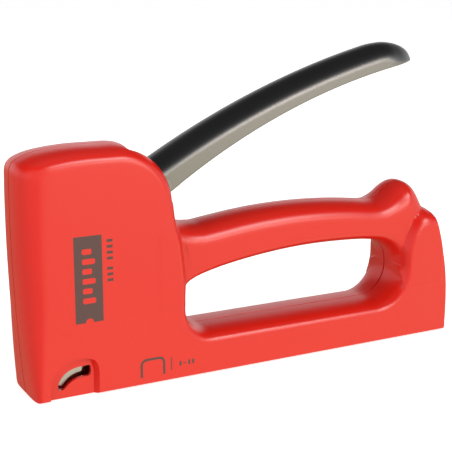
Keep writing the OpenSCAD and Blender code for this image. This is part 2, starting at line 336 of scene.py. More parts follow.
def prism(name: str, rings: Sequence[Tuple[np.ndarray, float]]) -> bpy.types.Object:
    """Closed solid between two or more outlines that lie across the tool.

    Args:
        name: Name of the new object.
        rings: Outlines as x, z, with as many points each, and the y of each.

    Returns:
        The solid.
    """
    count = len(rings[0][0])
    verts = np.vstack([np.c_[line[:, 0], np.full(count, y), line[:, 1]] for line, y in rings])
    first = np.arange(count)
    faces: List[Sequence[int]] = [first.tolist(), (first[::-1] + count * (len(rings) - 1)).tolist()]
    for level in range(len(rings) - 1):
        a = first + level * count
        b = np.roll(a, -1)
        faces += np.stack([a, a + count, b + count, b], axis=-1).tolist()
    obj = mesh_piece(name, verts, faces)
    clean(obj, 0.0005)
    return obj


def boolean(obj: bpy.types.Object, tool: bpy.types.Object, cut: Cut = Cut.REMOVE) -> None:
    """Combines a piece with a tool and deletes the tool.

    Args:
        obj: The piece, which keeps the result.
        tool: The other solid.
        cut: Whether the tool is taken away, added, or bounds what is kept.
    """
    apply_modifier(obj, "BOOLEAN", operation=cut.value, solver="MANIFOLD", object=tool)
    bpy.data.objects.remove(tool, do_unlink=True)


def dress(obj: bpy.types.Object, material: bpy.types.Material) -> None:
    """Gives a piece one material."""
    obj.data.materials.clear()
    obj.data.materials.append(material)


def mounted(obj: bpy.types.Object, body: str, slot: str, *nodes: str) -> None:
    """Rides a finished piece on its body, hides the CAD nodes that it stands for, and logs it.

    Args:
        obj: The finished piece.
        body: Body that it moves with.
        slot: Not used.
        nodes: CAD nodes that it stands for.
    """
    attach(obj, body)
    if nodes:
        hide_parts(*nodes)
    log.info("%s on %s: %d faces", obj.name, body, len(obj.data.polygons))


# ---------------------------------------------------------------- finishes


def node_group(name: str, inputs: Dict[str, float], build: Callable) -> bpy.types.NodeTree:
    """Makes a node group once and hands it back on later calls.

    Args:
        name: Name of the group.
        inputs: Names and default values of its number inputs.
        build: Function that is given the tree, its input node and its output node.

    Returns:
        The node group.
    """
    if name in bpy.data.node_groups:
        return bpy.data.node_groups[name]
    tree = bpy.data.node_groups.new(name, "ShaderNodeTree")
    for key, value in inputs.items():
        socket = tree.interface.new_socket(name=key, in_out="INPUT", socket_type="NodeSocketFloat")
        socket.default_value = value
    tree.interface.new_socket(name="Value", in_out="OUTPUT", socket_type="NodeSocketFloat")
    source = tree.nodes.new("NodeGroupInput")
    sink = tree.nodes.new("NodeGroupOutput")
    build(tree, source, sink)
    return tree


def math_node(tree: bpy.types.NodeTree, operation: str, a: object, b: object) -> object:
    """Adds a Math node.

    Args:
        tree: Node tree that it goes into.
        operation: Name of the operation.
        a: First input, a socket or a number.
        b: Second input, a socket or a number.

    Returns:
        The node's output socket.
    """
    node = tree.nodes.new("ShaderNodeMath")
    node.operation = operation
    for socket, value in zip(node.inputs, (a, b)):
        if isinstance(value, (int, float)):
            socket.default_value = value
        else:
            tree.links.new(value, socket)
    return node.outputs[0]


def moulded_grain() -> bpy.types.NodeTree:
    """Fine spark-eroded grain with a slow sink and swell, as on moulded housings.

    Returns:
        The node group.
    """

    def build(tree: bpy.types.NodeTree, source: bpy.types.Node, sink: bpy.types.Node) -> None:
        """Adds fine and slow noise in the shares that the group is given.

        Args:
            tree: The group's node tree.
            source: Its input node.
            sink: Its output node.
        """
        place = tree.nodes.new("ShaderNodeTexCoord")
        fine = tree.nodes.new("ShaderNodeTexNoise")
        fine.inputs["Detail"].default_value = 3
        slow = tree.nodes.new("ShaderNodeTexNoise")
        slow.inputs["Scale"].default_value = 28
        tree.links.new(place.outputs["Object"], fine.inputs["Vector"])
        tree.links.new(place.outputs["Object"], slow.inputs["Vector"])
        tree.links.new(source.outputs["Scale"], fine.inputs["Scale"])
        grain = math_node(tree, "MULTIPLY", fine.outputs["Fac"], source.outputs["Grain"])
        swell = math_node(tree, "MULTIPLY", slow.outputs["Fac"], source.outputs["Swell"])
        tree.links.new(math_node(tree, "ADD", grain, swell), sink.inputs["Value"])

    return node_group("moulded_grain", {"Scale": 2200.0, "Grain": 0.7, "Swell": 0.3}, build)


def rubbed_streaks() -> bpy.types.NodeTree:
    """Long fine streaks along X with blotches, as on drawn or rolled steel.

    Returns:
        The node group.
    """

    def build(tree: bpy.types.NodeTree, source: bpy.types.Node, sink: bpy.types.Node) -> None:
        """Adds noise drawn out along X and blotches in the shares that the group is given.

        Args:
            tree: The group's node tree.
            source: Its input node.
            sink: Its output node.
        """
        place = tree.nodes.new("ShaderNodeTexCoord")
        squeeze = tree.nodes.new("ShaderNodeMapping")
        squeeze.inputs["Scale"].default_value = (0.04, 1, 1)
        streak = tree.nodes.new("ShaderNodeTexNoise")
        streak.inputs["Detail"].default_value = 4
        blotch = tree.nodes.new("ShaderNodeTexNoise")
        blotch.inputs["Scale"].default_value = 60
        tree.links.new(place.outputs["Object"], squeeze.inputs["Vector"])
        tree.links.new(squeeze.outputs["Vector"], streak.inputs["Vector"])
        tree.links.new(place.outputs["Object"], blotch.inputs["Vector"])
        tree.links.new(source.outputs["Scale"], streak.inputs["Scale"])
        fine = math_node(tree, "MULTIPLY", streak.outputs["Fac"], source.outputs["Streak"])
        wide = math_node(tree, "MULTIPLY", blotch.outputs["Fac"], source.outputs["Blotch"])
        tree.links.new(math_node(tree, "ADD", fine, wide), sink.inputs["Value"])

    return node_group("rubbed_streaks", {"Scale": 900.0, "Streak": 0.7, "Blotch": 0.3}, build)


@dataclass(frozen=True)
class Finish:
    """A surface finish: two colours mixed by a pattern, a gloss range and a fine relief.

    Attributes:
        name: Name of the material.
        light: Colour at the top of the pattern.
        dark: Colour at the bottom of the pattern.
        rough_low: Roughness where the pattern is high.
        rough_high: Roughness where the pattern is low.
        metallic: Metal share.
        relief: Height of the relief in millimetres.
        specular: Strength of the mirror-like part, 0.5 for plain plastic.
        pattern: Function that gives the pattern's node group.
        scale: Scale of the pattern's fine part.
    """

    name: str
    light: Colour
    dark: Colour
    rough_low: float
    rough_high: float
    metallic: float = 0.0
    relief: float = 0.02
    specular: float = 0.5
    pattern: Callable = moulded_grain
    scale: float = 2200.0

    def material(self) -> bpy.types.Material:
        """Builds the material once and hands it back on later calls.

        Returns:
            The material.
        """
        made = bpy.data.materials.get(self.name)
        if made:
            return made
        made = bpy.data.materials.new(self.name)
        made.use_nodes = True
        tree = made.node_tree
        shader = tree.nodes["Principled BSDF"]
        shader.inputs["Metallic"].default_value = self.metallic
        shader.inputs["Specular IOR Level"].default_value = self.specular
        pattern = tree.nodes.new("ShaderNodeGroup")
        pattern.node_tree = self.pattern()
        pattern.inputs["Scale"].default_value = self.scale
        value = pattern.outputs["Value"]
        tint = tree.nodes.new("ShaderNodeMix")
        tint.data_type = "RGBA"
        tint.inputs["A"].default_value = (*self.dark, 1)
        tint.inputs["B"].default_value = (*self.light, 1)
        tree.links.new(value, tint.inputs["Factor"])
        tree.links.new(tint.outputs["Result"], shader.inputs["Base Color"])
        gloss = tree.nodes.new("ShaderNodeMapRange")
        gloss.inputs["To Min"].default_value = self.rough_high
        gloss.inputs["To Max"].default_value = self.rough_low
        tree.links.new(value, gloss.inputs["Value"])
        tree.links.new(gloss.outputs["Result"], shader.inputs["Roughness"])
        bump = tree.nodes.new("ShaderNodeBump")
        bump.inputs["Distance"].default_value = self.relief * MM
        tree.links.new(value, bump.inputs["Height"])
        tree.links.new(bump.outputs["Normal"], shader.inputs["Normal"])
        return made


RED_ABS = Finish("red_abs", (0.55, 0.010, 0.004), (0.5, 0.008, 0.003), 0.25, 0.35, relief=0.012,
                 specular=0.5)
BLACK_LACQUER = Finish("gloss_lacquer", (0.222, 0.225, 0.235), (0.185, 0.188, 0.196), 0.34, 0.42,
                       metallic=1.0, relief=0.001, scale=900.0)
ZINC = Finish("zinc_plate", (0.66, 0.67, 0.69), (0.5, 0.51, 0.53), 0.25, 0.42, metallic=1.0,
              relief=0.004, pattern=rubbed_streaks)
NICKEL = Finish("nickel_plate", (0.8, 0.8, 0.8), (0.68, 0.68, 0.69), 0.12, 0.25, metallic=1.0,
                relief=0.003, pattern=rubbed_streaks)
SPRING_WIRE = Finish("spring_wire", (0.42, 0.42, 0.43), (0.28, 0.28, 0.3), 0.25, 0.4, metallic=1.0,
                     relief=0.004, pattern=rubbed_streaks)
BLACK_NYLON = Finish("black_nylon", (0.035, 0.035, 0.037), (0.02, 0.02, 0.021), 0.4, 0.55, relief=0.012)
PALE_NYLON = Finish("pale_nylon", (0.8, 0.8, 0.76), (0.7, 0.7, 0.66), 0.35, 0.5, relief=0.008)
BUMPER_RUBBER = Finish("bumper_rubber", (0.04, 0.04, 0.04), (0.022, 0.022, 0.022), 0.7, 0.85, relief=0.03,
                       scale=1200.0)
GREY_INK = Finish("grey_ink", (0.085, 0.046, 0.040), (0.068, 0.036, 0.031), 0.45, 0.6, relief=0.004,
                  specular=0.3)


# ---------------------------------------------------------------- housing


@dataclass
class EdgeRound:
    """How the side of the housing rolls over towards one stretch of its outline.

    Attributes:
        line: The stretch, as x, z.
        reach: Distance over which the side rolls over, as a function of x, z.
        fullness: Power of the rounded section, in the same way: 2 is an ellipse, more is boxier.
    """

    line: np.ndarray
    reach: Callable[[np.ndarray], np.ndarray]
    fullness: Callable[[np.ndarray], np.ndarray]

    def share(self, points: np.ndarray, inset: float = 0.0) -> np.ndarray:
        """Share of the full half width that the surface has at each point.

        Args:
            points: Rows of x, z.
            inset: Distance by which the surface is moved in, for the inside of a wall.

        Returns:
            A share from 0 to 1 for each point.
        """
        reach = np.maximum(self.reach(points) - inset, 0.8) if inset else self.reach(points)
        near = np.clip((distance_to(points, self.line) - inset) / reach, 0, 1)
        power = self.fullness(points)
        return (1 - (1 - near) ** power) ** (1 / power)


def steady(value: float) -> Callable[[np.ndarray], np.ndarray]:
    """A reach that is the same everywhere."""
    return lambda points: np.full(len(points), value)


def nose_reach(points: np.ndarray) -> np.ndarray:
    """The front corners are full at the head and tighten towards the nose."""
    return 2.6 + 9.4 * (1 - np.exp(-np.clip(points[:, 1], 0, None) / 30))


def nose_fullness(points: np.ndarray) -> np.ndarray:
    """The front is flat across at the sole and rounder above."""
    return 4.4 - 1.4 * np.clip(points[:, 1] / 32, 0, 1)


def inner_reach(points: np.ndarray) -> np.ndarray:
    """The fillet that faces the hand is wider where it climbs onto the heel."""
    return 4.6 + 2.6 * np.clip((points[:, 0] - 158) / 8, 0, 1)


def heel_reach(points: np.ndarray) -> np.ndarray:
    """The heel's rear corners are tight at the sole and full at the top."""
    return 0.6 + 1.4 * (np.clip(points[:, 1], 0, None) / 47) ** 6


def grip_reach(points: np.ndarray) -> np.ndarray:
    """The grip's top edge is rounder over the horn."""
    return 7.0 + 2.5 * np.exp(-(((points[:, 0] - 157) / 7) ** 2))


@dataclass
class HousingForm:
    """Outer form of the closed housing: a head, sole and heel in one, and a narrower grip.

    Lengths are in millimetres, in the frame of the model. A reach is how far from an edge line the side
    starts to roll over, and a fullness is the power of that rounding.

    Attributes:
        half_width: Half width at the widest place.
        grip_half_width: Half width of the grip.
        thinning: Loss of half width at waist_height plus waist_span.
        waist_height: Height at which the side is widest.
        waist_span: Height over which it thins.
        blend: Depth over which the grip runs into the head and the heel.
        groove: Depth of the parting groove.
        lip: Distance of the shell's edge from the mid-plane.
        gap: Distance of the groove's floor from the mid-plane.
        corner_power: Sharpness of the corners where two roundings meet.
        front: Front edge on the mid-plane, from the nose up.
        top: Top edge of the head, back and down to the grip.
        grip_top: Upper edge of the grip, over the horn to the heel.
        heel: Rear edge, down to the sole.
        sole: Lower edge.
        inner: Edge of the body towards the hand, down the head, along the sole and up the heel.
        window_top: Upper edge of the hand window.
    """

    half_width: float = 13.84
    grip_half_width: float = 11.0
    thinning: float = 0.5
    waist_height: float = 38.0
    waist_span: float = 45.0
    blend: float = 4.5
    groove: float = 0.8
    lip: float = 0.34
    gap: float = 0.15
    corner_power: float = 5.0
    top_reach: float = 5.5
    top_fullness: float = 2.5
    inner_fullness: float = 2.6
    heel_fullness: float = 2.2
    sole_reach: float = 1.1
    sole_fullness: float = 5.0
    grip_fullness: float = 2.25
    window_reach: float = 4.4
    window_fullness: float = 2.4
    front: np.ndarray = field(default_factory=lambda: smooth_run(
        [(-1.9, 0), (-2.7, 8), (-3.4, 17), (-4.3, 35), (-4.8, 52), (-4.87, 64), (-4.75, 75),
         (-4.4, 81), (-3.3, 83.3)]))
    top: np.ndarray = field(default_factory=lambda: resample(np.vstack([
        smooth_run([(-3.3, 83.3), (-0.5, 84.7), (3.3, 86.0), (10.4, 87.1), (18, 87.6), (26, 87.6)]),
        arc((30.5, 65.3), 22.3, 92, 3, 40)]), 0.8))
    grip_top: np.ndarray = field(default_factory=lambda: resample(np.vstack([
        smooth_run([(52.77, 66.5), (53.1, 62.6), (53.9, 59.8), (55.8, 57.6), (59.2, 56.2), (65, 55.6)]),
        arc((106, -177.4), 236.3, 97.5, 82, 60)[1:],
        smooth_run([(139.6, 56.5), (144, 56.5), (148.3, 58.2), (152.6, 61.4), (157, 63.0), (160.6, 61.6),
                    (163.4, 58.2), (165.2, 54.8), (166.5, 52.5), (168.3, 51.2)])]), 0.8))
    heel: np.ndarray = field(default_factory=lambda: smooth_run(
        [(168.3, 51.2), (169.4, 49.2), (170.4, 45.5), (171.6, 40), (172.7, 34.7), (173.9, 28),
         (174.9, 19.3), (175.2, 10.5), (175.25, 0)]))
    sole: np.ndarray = field(default_factory=lambda: resample(
        np.array([(175.25, 0), (60, 0), (-1.9, 0)], float), 0.8))
    inner: np.ndarray = field(default_factory=lambda: resample(np.vstack([
        smooth_run([(52.77, 66.5), (53.5, 60), (55, 52), (56.4, 42), (57.1, 34), (57.2, 27)]),
        arc((66.7, 25.7), 9.5, 180, 270, 20),
        arc((140.4, 28.4), 12.2, 270, 360, 24),
        smooth_run([(152.6, 30), (152.9, 35), (154, 39.5), (156.9, 46), (159.3, 49.2), (162, 51.0),
                    (165, 51.7), (168.3, 51.2)])]), 0.8))
    window_top: np.ndarray = field(default_factory=lambda: smooth_run(
        [(57.2, 27), (57.35, 30.5), (58.7, 33.4), (61.8, 35.2), (70, 37.5), (80, 39.3), (90, 40.6),
         (100, 41.5), (112, 42.0), (125, 41.8), (138.3, 40.9), (144.5, 39.7), (148.8, 37.6),
         (151.6, 34.2), (152.6, 30)]))

    def window(self) -> np.ndarray:
        """Outline of the hand window on the mid-plane, from its front bottom corner backwards.

        Returns:
            Rows of x, z.
        """
        low = self.inner
        start = int(np.argmin(np.linalg.norm(low - (57.2, 27), axis=1)))
        stop = int(np.argmin(np.linalg.norm(low - (152.6, 30), axis=1)))
        return np.vstack([low[start:stop], self.window_top[::-1]])

    def outline(self) -> np.ndarray:
        """Outer outline on the mid-plane, from the nose up, over the grip and back along the sole."""
        return np.vstack([self.front, self.top[1:], self.grip_top[2:], self.heel[1:], self.sole[1:-1]])

    def depth(self, points: np.ndarray, inset: float = 0.0) -> np.ndarray:
        """Distance of the side surface from the mid-plane.

        Args:
            points: Rows of x, z inside the outline.
            inset: Wall thickness, for the inside of the wall.

        Returns:
            The half width at each point.
        """
        front = EdgeRound(self.front, nose_reach, nose_fullness).share(points, inset)
        top = EdgeRound(self.top, steady(self.top_reach), steady(self.top_fullness)).share(points, inset)
        inner = EdgeRound(self.inner, inner_reach, steady(self.inner_fullness)).share(points, inset)
        heel = EdgeRound(self.heel, heel_reach, steady(self.heel_fullness)).share(points, inset)
        sole = EdgeRound(self.sole, steady(self.sole_reach),
                         steady(self.sole_fullness)).share(points, inset)
        # the top runs on into the inner line, so only the nearer of the two counts
        shares = (front, np.minimum(top, inner), heel, sole)
        taken = sum((1 - share) ** self.corner_power for share in shares) ** (1 / self.corner_power)
        thinner = self.thinning * ((points[:, 1] - self.waist_height) / self.waist_span) ** 2
        body = self.half_width - thinner - inset
        body = body * np.clip(1 - taken, 0, 1)
        ring = np.vstack([self.front, self.top, self.inner, self.heel, self.sole])
        body = np.where(inside(points, ring), body, 0)
        grip = np.full(len(points), self.grip_half_width - inset)
        for edge in (EdgeRound(self.grip_top, grip_reach, steady(self.grip_fullness)),
                     EdgeRound(self.window_top, steady(self.window_reach), steady(self.window_fullness))):
            grip = grip * edge.share(points, inset)
        ring = np.vstack([self.grip_top, [(172, 49), (172, 20), (153, 20)], self.window_top[::-1],
                          [(45, 27), (45, 56)]])
        grip = np.where(inside(points, ring), grip, 0)
        near = np.clip(self.blend - np.abs(body - grip), 0, None)
        ease = np.clip(np.minimum(body, grip) / 4, 0, 1)
        return np.maximum(body, grip) + ease * near ** 2 / (4 * self.blend)


@dataclass(frozen=True)
class ShellScrew:
    """Place of a screw that holds the two shells together.

    Attributes:
        x: Place along the tool.
        z: Height above the sole.
        tower: Distance from the mid-plane at which its tower ends in the wall.
        seat: Distance from the mid-plane of the floor that its head sits on.
    """

    x: float
    z: float
    tower: float = 12.6
    seat: float = 9.0


@dataclass
class Housing:
    """The two moulded half shells with their cut-outs, towers and sight slots.

    Attributes:
        form: Outer form of the closed housing.
        wall: Thickness of the walls.
        slit_half_width: Half width of the opening for the lever.
        way_half_width: Half width of the channel that the magazine slides in.
        way_height: Height of that channel.
        recess_floor: Distance of the recess floor from the mid-plane.
        screws: The shell screws.
        tower_radius: Radius of the screw towers.
        core_radius: Radius of the holes that the threads bite into.
        head_radius: Radius of the counterbores.
        edge_samples: Points across each rounded edge.
        field_samples: Points across the flat of the side.
        station_density: Section lines for each point of the outline.
    """

    form: HousingForm = field(default_factory=HousingForm)
    wall: float = 2.1
    slit_half_width: float = 9.5
    way_half_width: float = 7.0
    way_height: float = 12.75
    recess_floor: float = 11.4
    screws: Tuple[ShellScrew, ...] = (
        ShellScrew(28, 80.6), ShellScrew(27.5, 22), ShellScrew(47.3, 50),
        ShellScrew(98, 51, tower=9.6, seat=7.0), ShellScrew(160.5, 44, tower=10.6))
    tower_radius: float = 3.4
    core_radius: float = 1.25
    head_radius: float = 2.9
    edge_samples: int = 15
    field_samples: int = 44
    station_density: float = 0.72

    def pairs(self) -> List[Tuple[Point, Point]]:
        """Matching places on the outer outline and on the window, all the way round."""
        return [((-1.9, 0), (60.2, 19.0)), ((-4.0, 30), (58.4, 21.5)), ((-4.9, 55), (57.3, 25.5)),
                ((-3.3, 83.3), (57.2, 29.0)), ((30, 87.6), (57.5, 32.5)), ((46.3, 81.1), (58.2, 34.8)),
                ((53.4, 61.3), (59.6, 36.4)), ((60, 56.0), (63.0, 37.8)), ((139, 56.6), (138.5, 41.3)),
                ((150.5, 60), (146.5, 39.2)), ((157, 63), (150.2, 36.4)), ((165.2, 54.8), (151.8, 34.0)),
                ((169.4, 49.2), (152.5, 31.0)), ((173.4, 28), (152.5, 27.0)), ((175.2, 0), (148.5, 19.2)),
                ((140, 0), (140, 16.2)), ((68, 0), (67.5, 16.2))]

    def stations(self) -> Tuple[np.ndarray, np.ndarray]:
        """Start and end points of the section lines that cross the ring from outside to window.

        Returns:
            The starts and the ends, each as rows of x, z.
        """
        outer, window = self.form.outline(), self.form.window()
        outer_at = [int(np.argmin(np.linalg.norm(outer - p, axis=1))) for p, _ in self.pairs()]
        window_at = [int(np.argmin(np.linalg.norm(window - q, axis=1))) for _, q in self.pairs()]
        outer_at.append(outer_at[0] + len(outer))
        window_at.append(window_at[0])
        starts: List[np.ndarray] = []
        ends: List[np.ndarray] = []
        for a, b, c, d in zip(outer_at, outer_at[1:], window_at, window_at[1:]):
            # the window runs the other way round, so its numbers fall along the pairs
            d = d - len(window) if d > c else d
            for t in np.linspace(0, 1, max(2, round((b - a) * self.station_density)), endpoint=False):
                starts.append(self.on_loop(outer, a + (b - a) * t))
                ends.append(self.on_loop(window, c + (d - c) * t))
        return np.array(starts), np.array(ends)

    @staticmethod
    def on_loop(loop: np.ndarray, at: float) -> np.ndarray:
        """Point of a closed loop at a fractional number.

        Args:
            loop: Points of the loop.
            at: Number of the point, which may lie between two and may run past the end.

        Returns:
            The point.
        """
        low = math.floor(at)
        share = at - low
        return loop[low % len(loop)] * (1 - share) + loop[(low + 1) % len(loop)] * share

    def reach_at(self, points: np.ndarray) -> np.ndarray:
        """Length of the finely divided stretch at the outer end of each section.

        Args:
            points: Starts of the sections.

        Returns:
            One length for each, changing gradually from one to the next.
        """
        reach = np.full(len(points), 7.5)
        front = distance_to(points, self.form.front) < 0.5
        reach[front] = nose_reach(points[front]) * 1.05
        reach[distance_to(points, self.form.sole) < 0.5] = 2.2
        kernel = np.hanning(15) / np.hanning(15).sum()
        return np.convolve(np.r_[reach[-7:], reach, reach[:7]], kernel, mode="valid")

    def outer_skin(self, starts: np.ndarray, ends: np.ndarray) -> np.ndarray:
        """Grid of points on the outside of a half shell.

        Args:
            starts: Outer ends of the sections.
            ends: Their ends at the window.

        Returns:
            Rows of x, depth, z, one row for each section.
        """
        span = np.linalg.norm(ends - starts, axis=1)
        roll = 1 - np.cos(np.linspace(0, math.pi / 2, self.edge_samples)) ** 0.8
        outer_reach = np.minimum(self.reach_at(starts), span * 0.45)
        window_reach = np.minimum(6.0, span * 0.45)
        middle = np.linspace(0, 1, self.field_samples + 2)[1:-1]
        columns = [share * outer_reach for share in roll]
        columns += [outer_reach + share * (span - outer_reach - window_reach) for share in middle]
        columns += [span - share * window_reach for share in roll[::-1]]
        way = (ends - starts) / span[:, None]
        flat = starts[:, None] + np.stack(columns, axis=1)[:, :, None] * way[:, None]
        depth = self.form.depth(flat.reshape(-1, 2)).reshape(flat.shape[:2])
        depth[:, 0] = depth[:, -1] = self.form.lip
        lips = np.stack([starts + way * self.form.groove, ends - way * self.form.groove])
        flat = np.concatenate([lips[0][:, None], flat, lips[1][:, None]], axis=1)
        depth = np.pad(depth, ((0, 0), (1, 1)), constant_values=self.form.gap)
        return np.dstack([flat[..., 0], depth, flat[..., 1]])

    def inner_skin(self, starts: np.ndarray, ends: np.ndarray, count: int = 34) -> np.ndarray:
        """Grid of points on the inside of a half shell.

        Args:
            starts: Outer ends of the sections.
            ends: Their ends at the window.
            count: Points in each section.

        Returns:
            Rows of x, depth, z, one row for each section.
        """
        span = np.linalg.norm(ends - starts, axis=1)
        way = (ends - starts) / span[:, None]
        probe = np.linspace(0, 1, 70)[None] * np.minimum(0.48 * span, 10)[:, None]
        found = []
        for base, sign in ((starts, 1), (ends, -1)):
            tries = base[:, None] + sign * probe[:, :, None] * way[:, None]
            solid = self.form.depth(tries.reshape(-1, 2), self.wall).reshape(probe.shape) > 0.4
            found.append(probe[np.arange(len(span)), np.argmax(solid, axis=1)])
        low, high = found
        share = (1 - np.cos(np.linspace(0, math.pi, count))) / 2
        along = low[:, None] + share[None] * (span - high - low)[:, None]
        flat = starts[:, None] + along[:, :, None] * way[:, None]
        depth = self.form.depth(flat.reshape(-1, 2), self.wall).reshape(flat.shape[:2])
        depth[:, 0] = depth[:, -1] = self.form.gap
        return np.dstack([flat[..., 0], depth, flat[..., 1]])

    @functools.cached_property
    def sections(self) -> np.ndarray:
        """Closed sections of a half shell all the way round the window, as x, depth, z."""
        starts, ends = self.stations()
        return np.concatenate([self.outer_skin(starts, ends), self.inner_skin(starts, ends)[:, ::-1]],
                              axis=1)

    def half(self, side: Side) -> bpy.types.Object:
        """Builds one hollow half shell before it is cut.

        Args:
            side: Which half.

        Returns:
            The closed shell.
        """
        verts = self.sections * (1, side.value, 1)
        rows, cols = verts.shape[:2]
        number = np.arange(rows * cols).reshape(rows, cols)
        following = np.roll(number, -1, axis=0)
        ring = (number, np.roll(number, -1, axis=1), np.roll(following, -1, axis=1), following)
        shell = mesh_piece(side.name.lower() + "_shell_moulding", verts.reshape(-1, 3),
                           np.stack(ring, axis=-1).reshape(-1, 4).tolist())
        clean(shell, 0.005)
        return shell

    def bosses(self, side: Side) -> bpy.types.Object:
        """Towers for the pin and the screws, and the pad behind the sight slot.

        Args:
            side: Which half shell it is for.

        Returns:
            The joined solid.
        """
        s = side.value
        pieces = [rod_piece("pivot_tower", (PIVOT[0], s * 11.4, PIVOT[1]), 6, 4)]
        start = 0.06
        for screw in self.screws:
            pieces.append(rod_piece("screw_tower", (screw.x, s * (start + screw.tower) / 2, screw.z),
                                    self.tower_radius, screw.tower - start))
        low, top = sorted((s * 10.0, s * 12.6))
        pieces.append(box_piece("slot_pad", (0.6, low, 1.0), (23.5, top, 16.4)))
        return join("bosses", pieces)

    def recess(self, side: Side) -> bpy.types.Object:
        """Cutter for the arched recess beside the nose, its rear wall laid back.

        Args:
            side: Which half shell it is for.

        Returns:
            The cutter.
        """
        rim = smooth_run([(2.6, 0), (3.0, 5), (4.0, 8.8), (6.2, 11.7), (9.6, 13.5), (13.2, 14.2),
                          (17, 14.0), (19.6, 12.9), (21, 10.2), (21.2, 5), (21.2, 0)], 0.7)
        rim = np.vstack([rim, [(21.2, -2), (2.6, -2)]])
        floor = rim.copy()
        floor[:, 0] -= 1.6 * np.clip((rim[:, 0] - 15) / 6, 0, 1) ** 1.5
        floor[:, 0] += 1.0 * np.clip((13 - rim[:, 0]) / 8, 0, 1)
        floor[:, 1] -= 0.7 * np.clip((rim[:, 1] - 6) / 6, 0, 1)
        over = rim + (rim - floor) * 0.2
        return prism("recess", [(over, side.value * 14.4), (floor, side.value * self.recess_floor)])

    def sight_slot(self, side: Side) -> bpy.types.Object:
        """Cutter for the curved slot in the floor of the recess.

        Args:
            side: Which half shell it is for.

        Returns:
            The cutter.
        """
        line = smooth_run([(6.3, 3.3), (6.4, 5.2), (7.8, 7.8), (10.1, 9.6), (12.9, 10.5), (16.4, 10.8),
                           (18.2, 10.7), (18.5, 10.2), (18.5, 7.4), (18.0, 6.9), (15.2, 6.8), (12.4, 6.2),
                           (10.2, 4.9), (8.6, 3.4), (7.6, 3.0), (6.3, 3.3)], 0.4)[:-1]
        return prism("sight_slot", [(line, side.value * 7.05), (line, side.value * 13.5)])

    def sight_plate(self, side: Side) -> bpy.types.Object:
        """Steel flange of the magazine guide that shows in the sight slot.

        Args:
            side: Which half shell it is for.

        Returns:
            The finished plate.
        """
        line = smooth_run([(5.6, 5.4), (7.2, 8.4), (9.8, 10.2), (12.9, 11.1), (15.4, 11.3), (15.6, 8.6),
                           (13.4, 8.0), (11.2, 7.0), (9.6, 5.6), (8.2, 4.2), (5.6, 5.4)], 0.4)[:-1]
        plate = prism(side.name.lower() + "_sight_plate",
                      [(line, side.value * 9.3), (line, side.value * 9.95)])
        apply_modifier(plate, "BEVEL", width=0.12 * MM, segments=2, limit_method="ANGLE")
        dress(plate, SPRING_WIRE.material())
        smooth_by_angle(plate, 35)
        mounted(plate, "body", "bright_steel")
        return plate

    def cutters(self, side: Side) -> List[bpy.types.Object]:
        """Two sets of cutters for one half shell; within a set none meets another.

        Args:
            side: Which half shell it is for.

        Returns:
            The two sets, each joined into one object.
        """
        way, slit = self.way_half_width, self.slit_half_width
        first = [box_piece("lever_slit", (35.2, -slit, 61.5), (57, slit, 95), 1.2),
                 box_piece("magazine_way", (0.7, -way, -2), (185, way, self.way_height), 0.3),
                 self.recess(side)]
        second = [box_piece("plate_seat", (-0.5, -6.95, -2.5), (0.9, 6.95, 80)), self.sight_slot(side),
                  rod_piece("pin_hole", (PIVOT[0], 0, PIVOT[1]), 3.02, 25.6)]
        for screw in self.screws:
            if side is Side.RIGHT:
                first.append(rod_piece("counterbore", (screw.x, screw.seat + 5, screw.z),
                                       self.head_radius, 10))
            second.append(rod_piece("screw_hole", (screw.x, side.value * 5, screw.z),
                                    self.core_radius, 11))
        return [join("first_cutters", first), join("second_cutters", second)]

    def build(self) -> None:
        """Builds both shells."""
        for side in Side:
            shell = self.half(side)
            boolean(shell, self.bosses(side), Cut.ADD)
            for tool in self.cutters(side):
                boolean(shell, tool)
            clean(shell, 0.001)
            shell.name = shell.name.replace("moulding", "body")
            dress(shell, RED_ABS.material())
            smooth_by_angle(shell, 30)
            mounted(shell, "body", "red_shell", side.name.lower() + "_shell")
            self.sight_plate(side)


# ---------------------------------------------------------------- squeeze lever


